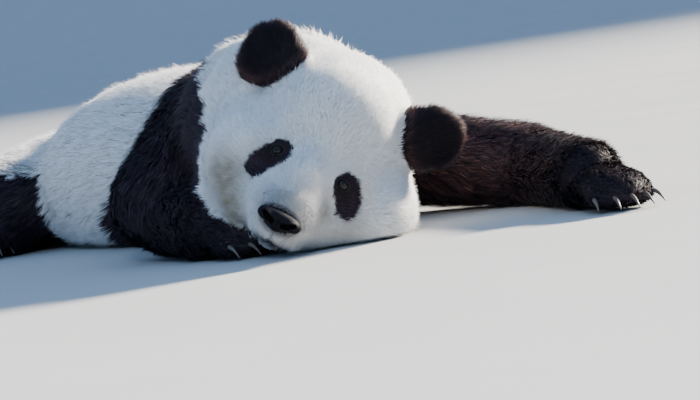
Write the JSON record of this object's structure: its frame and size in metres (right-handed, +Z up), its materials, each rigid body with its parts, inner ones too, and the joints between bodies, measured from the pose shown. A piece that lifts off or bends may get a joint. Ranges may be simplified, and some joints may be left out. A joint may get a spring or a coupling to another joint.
{
  "type": "giant panda",
  "caption": "Giant panda lying on its belly, head turned and laid on one cheek, one foreleg tucked beside the chin and the other stretched forward.",
  "frame": {"origin": "on the floor, below the centre of the animal's bounding box", "axes": "+Z up, +Y from the head to the tail along the trunk, -X to the animal's right"},
  "size_m": [0.7778, 1.738, 0.3431],
  "materials": {
    "white_fur": "dense white coat with a slight cream tinge, matt",
    "black_fur": "dense brown-black coat, matt with a faint sheen",
    "nose_skin": "bare black pebbled skin, slightly moist",
    "eye": "very dark brown, wet and glossy",
    "claw": "dark horn, paler at the tip, worn smooth"
  },
  "bodies": {
    "root": {"claw_forepaw_left_1": "claw", "claw_forepaw_left_2": "claw", "claw_forepaw_left_3": "claw", "claw_forepaw_left_4": "claw", "claw_forepaw_left_5": "claw", "claw_forepaw_right_1": "claw", "claw_forepaw_right_2": "claw", "claw_forepaw_right_3": "claw", "claw_forepaw_right_4": "claw", "claw_forepaw_right_5": "claw", "claw_hind_foot_left_1": "claw", "claw_hind_foot_left_2": "claw", "claw_hind_foot_left_3": "claw", "claw_hind_foot_left_4": "claw", "claw_hind_foot_left_5": "claw", "claw_hind_foot_right_1": "claw", "claw_hind_foot_right_2": "claw", "claw_hind_foot_right_3": "claw", "claw_hind_foot_right_4": "claw", "claw_hind_foot_right_5": "claw", "ear_left": "black_fur", "ear_right": "black_fur", "eye_left": "eye", "eye_right": "eye", "forearm_left": "black_fur", "forearm_right": "black_fur", "forepaw_left": "black_fur", "forepaw_right": "black_fur", "head": "white_fur", "hind_foot_left": "black_fur", "hind_foot_right": "black_fur", "neck": "white_fur", "nose": "nose_skin", "shank_left": "black_fur", "shank_right": "black_fur", "shoulders": "black_fur", "tail": "white_fur", "thigh_left": "black_fur", "thigh_right": "black_fur", "trunk": "white_fur", "upper_arm_left": "black_fur", "upper_arm_right": "black_fur"}
  },
  "joints": []
}
